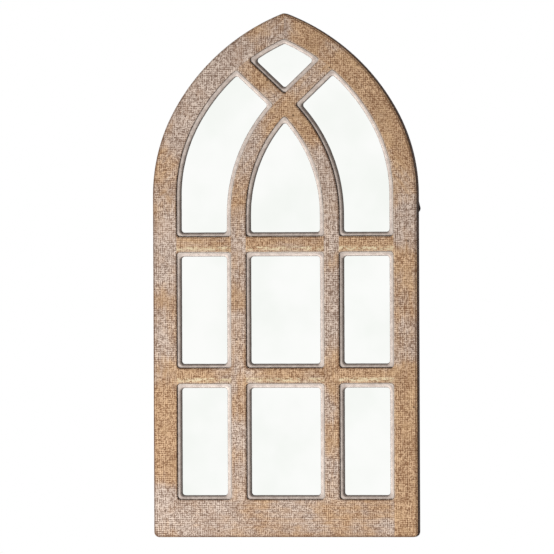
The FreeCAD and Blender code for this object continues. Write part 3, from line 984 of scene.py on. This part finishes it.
@dataclass
class SawnBoards:
    """Boards whose front keeps the crossed marks of the saw, as real grooves."""

    slot: str
    boards: tuple[WhitewashedWood, ...]
    arrises: Arrises
    mesh_step: float = 0.0009
    saw_margin: float = 0.004
    saw_reach: float = 0.004
    mark_gaps: tuple[float, float] = (0.0024, 0.0042)
    mark_depths: tuple[float, ...] = (0.00007, 0.00013, 0.0002)
    mark_reach: float = 0.55
    wander: float = 0.0016
    wander_grain: float = 0.028
    fuzz: float = 0.0001
    fuzz_grain: float = 0.0035
    edge: Edge = Edge.WORN

    def marks(self, low: float, high: float, seed: int) -> dict[float, list[float]]:
        """Draws where the saw marks lie along one axis.

        Args:
            low: Where they start.
            high: Where they end.
            seed: Start of the random draws.

        Returns:
            The places of the marks for each depth.
        """
        draws = random.Random(seed)
        found: dict[float, list[float]] = {depth: [] for depth in self.mark_depths}
        place = low
        while place < high:
            place += draws.uniform(*self.mark_gaps)
            found[draws.choice(self.mark_depths)].append(place)
        return found

    def sawdust(self, node: str, seed: int) -> Piece:
        """The block of waste that the saw takes off a board's front.

        Args:
            node: The board's CAD node.
            seed: Start of the random draws.

        Returns:
            The block, closed, with its rough face on the board's front plane.
        """
        low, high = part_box(node)
        across = high.x - low.x + 2 * self.saw_margin
        tall = high.z - low.z + 2 * self.saw_margin
        middle = (low + high) / 2
        deselect()
        bpy.ops.mesh.primitive_grid_add(
            x_subdivisions=int(across / self.mesh_step),
            y_subdivisions=int(tall / self.mesh_step),
            size=1.0,
            location=(middle.x, FRONT_PLANE, middle.z),
            rotation=(math.pi / 2, 0, 0),
        )
        block = bpy.context.object
        bpy.ops.object.transform_apply(location=False, rotation=True, scale=False)
        bpy.ops.transform.resize(value=(across, 1.0, tall))
        bpy.ops.object.transform_apply(location=True, rotation=False, scale=True)
        places = corners(block)
        for axis, start, end in ((0, low.x, high.x), (2, low.z, high.z)):
            for depth, found in self.marks(start, end, seed + axis).items():
                if not found:
                    continue
                distance = np.abs(places[:, axis][:, None] - np.array(found)[None, :]).min(axis=1)
                choose(block, distance < self.mesh_step * self.mark_reach)
                bpy.ops.transform.translate(value=(0, depth, 0))
                bpy.ops.object.mode_set(mode="OBJECT")
        roughen(block, self.wander_grain, self.wander, "X")
        roughen(block, self.wander_grain, self.wander, "Z")
        roughen(block, self.fuzz_grain, self.fuzz, "Y")
        take(block)
        edit()
        bpy.ops.mesh.extrude_region_move(TRANSFORM_OT_translate={"value": (0, -self.saw_reach, 0)})
        bpy.ops.mesh.select_all(action="SELECT")
        bpy.ops.mesh.normals_make_consistent(inside=False)
        bpy.ops.object.mode_set(mode="OBJECT")
        return block

    def build(self) -> None:
        """Copies each board, eases its edges, saws its front and finishes it."""
        for wood in self.boards:
            board = merged_copy(wood.node, f"{wood.node}_board")
            join_flats(board)
            ease(board, self.edge)
            waste = self.sawdust(wood.node, wood.seed)
            apply(board, "BOOLEAN", operation="DIFFERENCE", solver="MANIFOLD", object=waste)
            bpy.data.objects.remove(waste)
            self.arrises.mark(board, 1)
            hang_up(board, wood.node, FRAME_BODY, wood.material())


@dataclass
class GlazingBeads:
    """The ten rings of moulding between the wood and the glass."""

    arrises: Arrises
    names: tuple[str, ...] = LIGHTS
    step: float = 0.004
    wave: float = 0.009
    unevenness: float = 0.00028

    def build(self) -> None:
        """Copies each bead, cuts it into short lengths and makes it a little uneven."""
        for number, name in enumerate(self.names):
            node = f"{name}_bead"
            bead = merged_copy(node, f"{name}_moulding")
            slice_across(bead, self.step)
            roughen(bead, self.wave, self.unevenness)
            self.arrises.mark(bead, -1)
            finish = RubbedBead(f"rubbed_{name}", number).material()
            hang_up(bead, node, FRAME_BODY, finish)


@dataclass
class RebateLayers:
    """Mirror glass, foam and hardboard, which lie in the rebate behind the bars."""

    foam_step: float = 0.012
    foam_slack: float = 0.2
    board_edge: Edge = Edge.WORN

    def build(self) -> None:
        """Finishes the glass, lays the foam sheet and eases the hardboard."""
        dress_node("mirror_glass", SilveredGlass("silvered_glass").material())
        foam = merged_copy("foam_sheet", "foam_cushion")
        slice_across(foam, self.foam_step)
        apply(foam, "SMOOTH", factor=self.foam_slack, iterations=1)
        hang_up(foam, "foam_sheet", FRAME_BODY, PackingFoam("packing_foam").material())
        fibre = Hardboard("hardboard").material()
        hang_eased("back_panel", "back_board", fibre, self.board_edge)


@dataclass
class Fixings:
    """Dowels inside the joints, and the clips and screws on the back."""

    edge: Edge = Edge.CRISP

    def build(self) -> None:
        """Finishes the dowels, and eases and finishes the clips and the screws."""
        beech = BeechDowel("beech_dowel").material()
        for node in ("frame_dowels", "tracery_dowels"):
            dress_node(node, beech)
        zinc = ZincSteel("zinc_clip", 0.0).material()
        screws = ZincSteel("yellow_zinc_screw", 0.55).material()
        hang_eased("panel_clips", "offset_clips", zinc, self.edge)
        hang_eased("clip_screws", "clip_screw_set", screws, self.edge)
        hang_eased("hanger_screws", "hanger_screw_set", screws, self.edge)


@dataclass
class Hangers:
    """The two steel straps and the rings that swing in them."""

    edge: Edge = Edge.CRISP

    def build(self) -> None:
        """Eases and finishes the straps, and finishes the rings."""
        black = BlackSteel("black_steel").material()
        for side in ("left", "right"):
            hang_eased(f"{side}_hanger_strap", f"{side}_strap", black, self.edge)
            wire = merged_copy(f"{side}_hanger_ring", f"{side}_ring_wire")
            hang_up(wire, f"{side}_hanger_ring", f"{side}_ring", black)


@dataclass
class WallPads:
    """The two rubber pads that keep the frame off the wall."""

    edge: Edge = Edge.SOFT
    segments: int = 3

    def build(self) -> None:
        """Rounds and finishes the pads."""
        rubber = BlackRubber("black_rubber").material()
        hang_eased("wall_pads", "rubber_pads", rubber, self.edge, self.segments)


@dataclass
class Studio:
    """Plain pale floor, soft light from the low left, and the camera at the photograph's angle."""

    azimuth: float = 9.5
    roll: float = 0.228
    distance: float = 16.0
    picture_height: float = 0.8293
    aim_across: float = -0.0163
    aim_up: float = -0.1183
    sensor: float = 36.0
    sight: float = 100.0
    floor_size: float = 14.0
    floor_height: float = -3.0
    floor_grey: float = 0.82
    floor_rough: float = 0.9
    floor_shine: float = 0.1
    floor_glow: float = 0.8
    ambient: float = 0.3
    key_power: float = 133.0
    key_place: tuple[float, float, float] = (-2.1, -2.3, -2.1)
    key_size: tuple[float, float] = (0.9, 0.9)

    def seen_plainly(self, tree: bpy.types.NodeTree) -> Socket:
        """One for a ray that shows the white surroundings: from the camera, in a gloss or through glass.

        Args:
            tree: The node tree of a material or of the world.

        Returns:
            The socket.
        """
        rays = add_node(tree, "ShaderNodeLightPath", {}).outputs
        seen = rays["Is Camera Ray"]
        for kind in ("Is Glossy Ray", "Is Transmission Ray"):
            inputs = {0: seen, 1: rays[kind]}
            seen = add_node(tree, "ShaderNodeMath", inputs, operation="MAXIMUM").outputs[0]
        return seen

    def light_world(self) -> None:
        """White surroundings that light the mirror softly from all sides."""
        world = bpy.data.worlds.new("soft_room")
        world.use_nodes = True
        bpy.context.scene.world = world
        tree = world.node_tree
        inputs = {"Value": self.seen_plainly(tree), "To Min": self.ambient, "To Max": 1.0}
        strength = add_node(tree, "ShaderNodeMapRange", inputs).outputs[0]
        feed(tree, tree.nodes["Background"], {"Color": (1, 1, 1, 1), "Strength": strength})

    def lay_floor(self) -> None:
        """A pale floor well below the mirror, which hangs."""
        deselect()
        bpy.ops.mesh.primitive_plane_add(size=self.floor_size, location=(0, 0, self.floor_height))
        floor = bpy.context.object
        floor.name = "studio_floor"
        bpy.ops.object.transform_apply(location=True, rotation=True, scale=True)
        material = bpy.data.materials.new("pale_floor")
        material.use_nodes = True
        tree = material.node_tree
        inputs = {0: self.seen_plainly(tree), 1: self.floor_glow}
        glow = add_node(tree, "ShaderNodeMath", inputs, operation="MULTIPLY").outputs[0]
        looks = {
            "Base Color": (self.floor_grey, self.floor_grey, self.floor_grey, 1),
            "Roughness": self.floor_rough,
            "Specular IOR Level": self.floor_shine,
            "Emission Color": (1, 1, 1, 1),
            "Emission Strength": glow,
        }
        feed(tree, tree.nodes["Principled BSDF"], looks)
        floor.data.materials.append(material)

    def hang_key_light(self) -> None:
        """The soft key light, low on the left."""
        lamp = bpy.data.lights.new("key_light", "AREA")
        lamp.shape = "RECTANGLE"
        lamp.size, lamp.size_y = self.key_size
        lamp.energy = self.key_power
        key = bpy.data.objects.new("key_light", lamp)
        bpy.context.scene.collection.objects.link(key)
        key.location = self.key_place
        aim = Vector((0, 0, self.aim_up)) - key.location
        key.rotation_euler = aim.to_track_quat("-Z", "Y").to_euler()

    def place_camera(self) -> None:
        """A long lens on the photograph's bearing, level with the middle of the picture."""
        turn = math.radians(self.azimuth)
        across = Vector((math.cos(turn), math.sin(turn), 0))
        back = Vector((math.sin(turn), -math.cos(turn), 0))
        target = across * self.aim_across + Vector((0, 0, self.aim_up))
        lens = bpy.data.cameras.new("photo_camera")
        lens.sensor_width = self.sensor
        lens.lens = self.sensor * self.distance / self.picture_height
        lens.clip_end = self.sight
        camera = bpy.data.objects.new("photo_camera", lens)
        bpy.context.scene.collection.objects.link(camera)
        camera.location = target + back * self.distance
        camera.rotation_mode = "XYZ"
        camera.rotation_euler = (math.pi / 2, math.radians(self.roll), turn)
        bpy.context.scene.camera = camera

    def build(self) -> None:
        """Sets the light, the floor and the camera."""
        bpy.context.scene.view_settings.view_transform = "Standard"
        self.light_world()
        self.lay_floor()
        self.hang_key_light()
        self.place_camera()
        log.info("studio: camera %.1f m away at azimuth %.1f", self.distance, self.azimuth)


def face_frame() -> tuple[WhitewashedWood, ...]:
    """The five outer boards, with the places where the whitewash is thick or rubbed off.

    Returns:
        The boards.
    """
    left_stile = (
        Rub(-0.184, 0.055, 0.05, -0.35),
        Rub(-0.18, -0.08, 0.08, 0.45),
        Rub(-0.184, -0.35, 0.09, -0.45),
        Rub(-0.178, -0.468, 0.05, 0.5),
    )
    right_stile = (
        Rub(0.184, -0.045, 0.045, 0.8),
        Rub(0.186, -0.13, 0.04, 0.2),
        Rub(0.184, -0.32, 0.1, -0.3),
        Rub(0.18, -0.46, 0.08, -0.6),
    )
    bottom_rail = (
        Rub(-0.14, -0.47, 0.08, 0.4),
        Rub(-0.02, -0.495, 0.05, -0.3),
        Rub(0.1, -0.475, 0.07, -0.2),
    )
    left_arch = (Rub(-0.18, 0.05, 0.05, -0.4), Rub(-0.16, 0.11, 0.07, 0.4), Rub(-0.11, 0.18, 0.09, 0.6))
    right_arch = (
        Rub(-0.012, 0.255, 0.03, 0.7),
        Rub(0.035, 0.235, 0.04, -0.4),
        Rub(0.12, 0.16, 0.08, -0.5),
        Rub(0.184, 0.03, 0.05, -0.2),
    )
    return (
        WhitewashedWood("left_stile", Grain.UPRIGHT, 0.56, 1, left_stile),
        WhitewashedWood("right_stile", Grain.UPRIGHT, 0.36, 2, right_stile),
        WhitewashedWood("bottom_rail", Grain.LEVEL, 0.56, 3, bottom_rail),
        WhitewashedWood("left_arch", Grain.RISING, 0.5, 4, left_arch),
        WhitewashedWood("right_arch", Grain.FALLING, 0.34, 5, right_arch),
    )


def window_bars() -> tuple[WhitewashedWood, ...]:
    """The six bars that divide the window, with their thick and rubbed places and their streaks.

    Returns:
        The bars.
    """
    left_mullion = (Rub(-0.072, -0.09, 0.07, 0.4), Rub(-0.07, -0.22, 0.05, -0.2))
    right_mullion = (Rub(0.07, -0.04, 0.07, 0.5), Rub(0.071, -0.17, 0.08, 0.7))
    upper_crossbar = (
        Rub(-0.13, -0.07, 0.035, -0.2),
        Rub(0.01, -0.075, 0.04, 0.5),
        Rub(0.11, -0.07, 0.03, -0.4),
    )
    lower_crossbar = (
        Rub(-0.14, -0.266, 0.05, -0.5),
        Rub(-0.05, -0.27, 0.03, 0.5),
        Rub(-0.01, -0.265, 0.03, -0.3),
        Rub(0.04, -0.27, 0.03, 0.3),
        Rub(0.12, -0.265, 0.04, -0.3),
    )
    left_tracery = (Rub(-0.066, 0.06, 0.07, 0.4), Rub(-0.01, 0.14, 0.04, -0.4))
    right_tracery = (Rub(0.066, 0.03, 0.07, 0.4), Rub(0.03, 0.12, 0.05, -0.3), Rub(-0.04, 0.19, 0.04, -0.4))
    return (
        WhitewashedWood("left_mullion", Grain.UPRIGHT, 0.52, 6, left_mullion),
        WhitewashedWood("right_mullion", Grain.UPRIGHT, 0.48, 7, right_mullion),
        WhitewashedWood("upper_crossbar", Grain.LEVEL, 0.2, 8, upper_crossbar, streak_height=-0.0755),
        WhitewashedWood("lower_crossbar", Grain.LEVEL, 0.22, 9, lower_crossbar, streak_height=-0.272),
        WhitewashedWood("left_tracery_bar", Grain.RISING, 0.42, 10, left_tracery),
        WhitewashedWood("right_tracery_bar", Grain.FALLING, 0.4, 11, right_tracery),
    )


def main() -> None:
    """Builds every sub-assembly in order, and then the studio."""
    logging.basicConfig(level=logging.INFO, format="%(name)s: %(message)s")
    outer, bars = face_frame(), window_bars()
    arrises = Arrises(tuple(wood.node for wood in (*outer, *bars)))
    parts = (
        SawnBoards("frame_wood", outer, arrises),
        SawnBoards("bar_wood", bars, arrises),
        GlazingBeads(arrises),
        RebateLayers(),
        Fixings(),
        Hangers(),
        WallPads(),
    )
    for part in parts:
        part.build()
    Studio().build()
    deselect()


if __name__ == "__main__":
    main()
